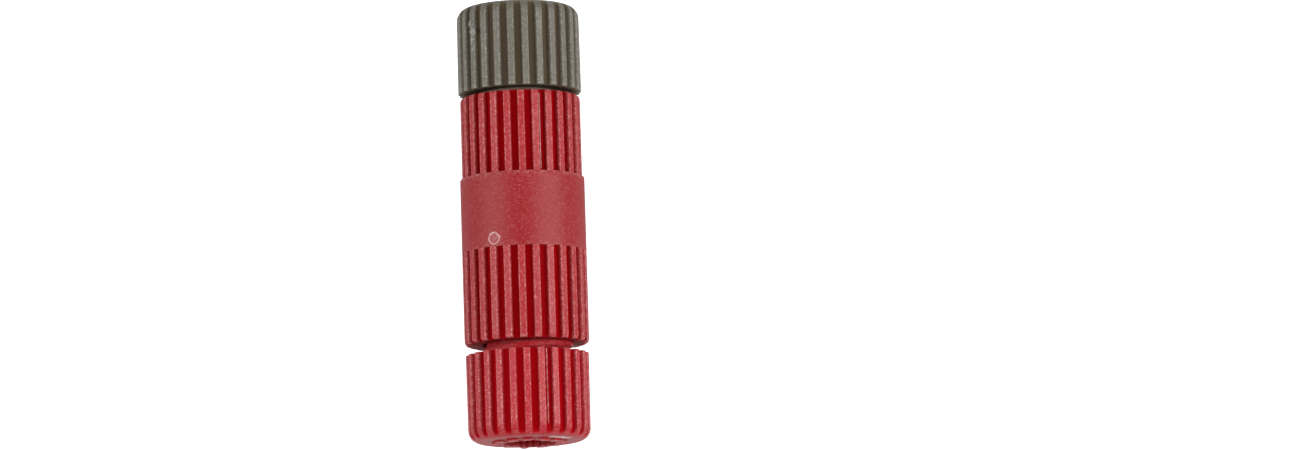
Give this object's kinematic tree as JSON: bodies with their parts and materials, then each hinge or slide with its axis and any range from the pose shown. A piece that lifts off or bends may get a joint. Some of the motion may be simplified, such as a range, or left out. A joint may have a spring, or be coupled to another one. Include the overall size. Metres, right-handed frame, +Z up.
{
  "type": "inline wire connector",
  "caption": "Inline screw-cap connector: a fluted red body with a smooth band and fluted grey and red caps that screw down over stripped wires.",
  "frame": {"origin": "on the connector's axis at the middle of the smooth band", "axes": "+Y along the axis towards the upper (grey) cap, +Z up with the connector lying on its side"},
  "size_m": [0.01, 0.0356, 0.01],
  "materials": {
    "red_body": "moulded red nylon, fine matte texture on the lands and smoother grooves",
    "red_cap": "moulded red nylon, fine matte texture",
    "grey_cap": "moulded warm grey nylon, fine matte texture",
    "contact_metal": "bright tin plate on brass",
    "coil_wire": "tin-plated spring bronze wire"
  },
  "bodies": {
    "body": {"center_body": "red_body", "contact_core": "contact_metal"},
    "upper_coil": {"upper_helix": "coil_wire"},
    "upper_screw_cap": {"upper_cap": "grey_cap"},
    "lower_coil": {"lower_helix": "coil_wire"},
    "lower_screw_cap": {"lower_cap": "red_cap"}
  },
  "joints": [
    {"name": "upper_cap_travel", "type": "slide", "parent": "body", "child": "upper_coil", "axis": [0, 1, 0], "range_m": [-0.00034, 0.006]},
    {"name": "upper_cap_turn", "type": "hinge", "parent": "upper_coil", "child": "upper_screw_cap", "pos_m": [0, 0.01345, 0], "axis": [0, 1, 0], "range_deg": [-82, 1441]},
    {"name": "lower_cap_travel", "type": "slide", "parent": "body", "child": "lower_coil", "axis": [0, -1, 0], "range_m": [-0.00081, 0.0055]},
    {"name": "lower_cap_turn", "type": "hinge", "parent": "lower_coil", "child": "lower_screw_cap", "pos_m": [0, -0.01473, 0], "axis": [0, -1, 0], "range_deg": [-195, 1321]}
  ],
  "couplings": [
    {"joint": "upper_cap_turn", "follows": "upper_cap_travel", "rad_per_m": 4188.8},
    {"joint": "lower_cap_turn", "follows": "lower_cap_travel", "rad_per_m": 4188.8}
  ]
}
